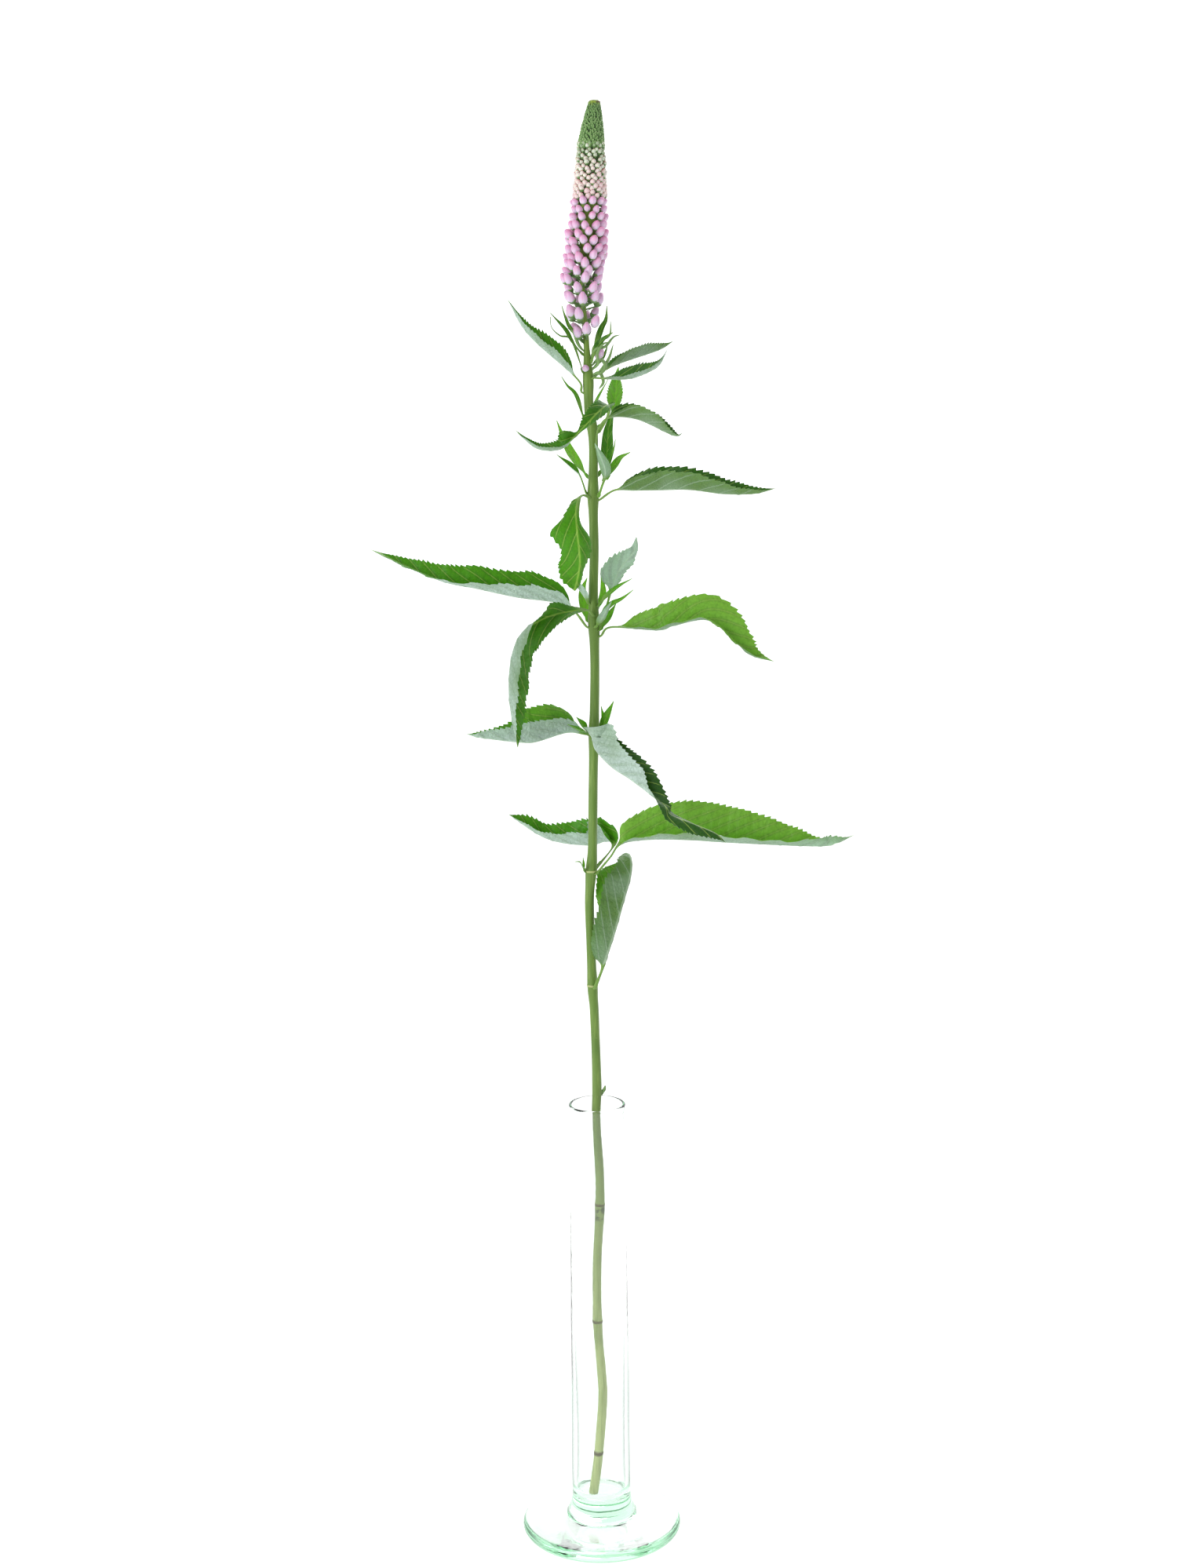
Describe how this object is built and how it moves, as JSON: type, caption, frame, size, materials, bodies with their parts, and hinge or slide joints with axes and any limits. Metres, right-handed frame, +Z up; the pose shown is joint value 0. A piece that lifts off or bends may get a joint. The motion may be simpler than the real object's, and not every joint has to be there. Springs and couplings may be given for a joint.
{
  "type": "speedwell flower spike in vase",
  "caption": "Cut speedwell stem with a budding pink flower spike and folded toothed leaves, standing in a slim clear glass tube vase on a round foot.",
  "frame": {"origin": "centre of the vase foot's flat underside", "axes": "+Z up along the vase axis; -Y is the side that faces the viewer, +X to the viewer's right"},
  "size_m": [0.2072, 0.0902, 0.633],
  "materials": {
    "pale_green_glass": "clear, pale green, smooth and slightly wavy",
    "stem_green": "soft satin plant stem",
    "leaf_green": "satin leaf, paler and greyer underneath",
    "young_leaf_green": "satin young leaf that lets light through",
    "petal_pink": "matt soft bud",
    "pale_bud_cream": "matt soft bud",
    "bud_scale_green": "matt green bud scale"
  },
  "bodies": {
    "root": {"glass_vase": "pale_green_glass", "flower_stem": "stem_green", "top_leaf_left": "leaf_green", "top_leaf_back": "leaf_green", "top_leaf_right": "leaf_green", "upper_leaf_right": "leaf_green", "upper_leaf_curled": "leaf_green", "middle_leaf_left": "leaf_green", "middle_leaf_right": "leaf_green", "lower_leaf_left": "leaf_green", "lower_leaf_front": "leaf_green", "lower_leaf_right": "leaf_green", "base_leaf_left": "leaf_green", "base_leaf_right": "leaf_green", "foot_leaf_left": "leaf_green", "foot_leaf_right": "leaf_green", "lowest_leaf": "leaf_green", "upper_leaf_back": "young_leaf_green", "upper_sprig_left": "young_leaf_green", "upper_sprig_right": "young_leaf_green", "upper_sprig_back": "young_leaf_green", "middle_shoot_stalk_left": "young_leaf_green", "middle_shoot_left": "young_leaf_green", "middle_shoot_front": "young_leaf_green", "middle_shoot_thin": "young_leaf_green", "middle_shoot_right": "young_leaf_green", "lower_shoot_left": "young_leaf_green", "lower_shoot_left_back": "young_leaf_green", "lower_shoot_large": "young_leaf_green", "lower_shoot_upper": "young_leaf_green", "lower_shoot_middle": "young_leaf_green", "lower_shoot_right": "young_leaf_green", "lower_shoot_front": "young_leaf_green", "lower_shoot_back": "young_leaf_green", "base_shoot_left": "young_leaf_green", "base_shoot_left_back": "young_leaf_green", "base_shoot_right": "young_leaf_green", "base_shoot_thin": "young_leaf_green", "foot_shoot_left": "young_leaf_green", "foot_shoot_thin": "young_leaf_green", "bract_left": "young_leaf_green", "bract_left_thin": "young_leaf_green", "bract_left_up": "young_leaf_green", "bract_right": "young_leaf_green", "bract_right_thin": "young_leaf_green", "bract_right_curl": "young_leaf_green", "pink_buds_1": "petal_pink", "pink_buds_2": "petal_pink", "pink_buds_3": "petal_pink", "pink_buds_4": "petal_pink", "pink_buds_5": "petal_pink", "pink_buds_6": "petal_pink", "pink_buds_7": "petal_pink", "pink_buds_8": "petal_pink", "pink_buds_9": "petal_pink", "pale_bud_band": "pale_bud_cream", "spike_tip": "bud_scale_green"}
  },
  "joints": []
}
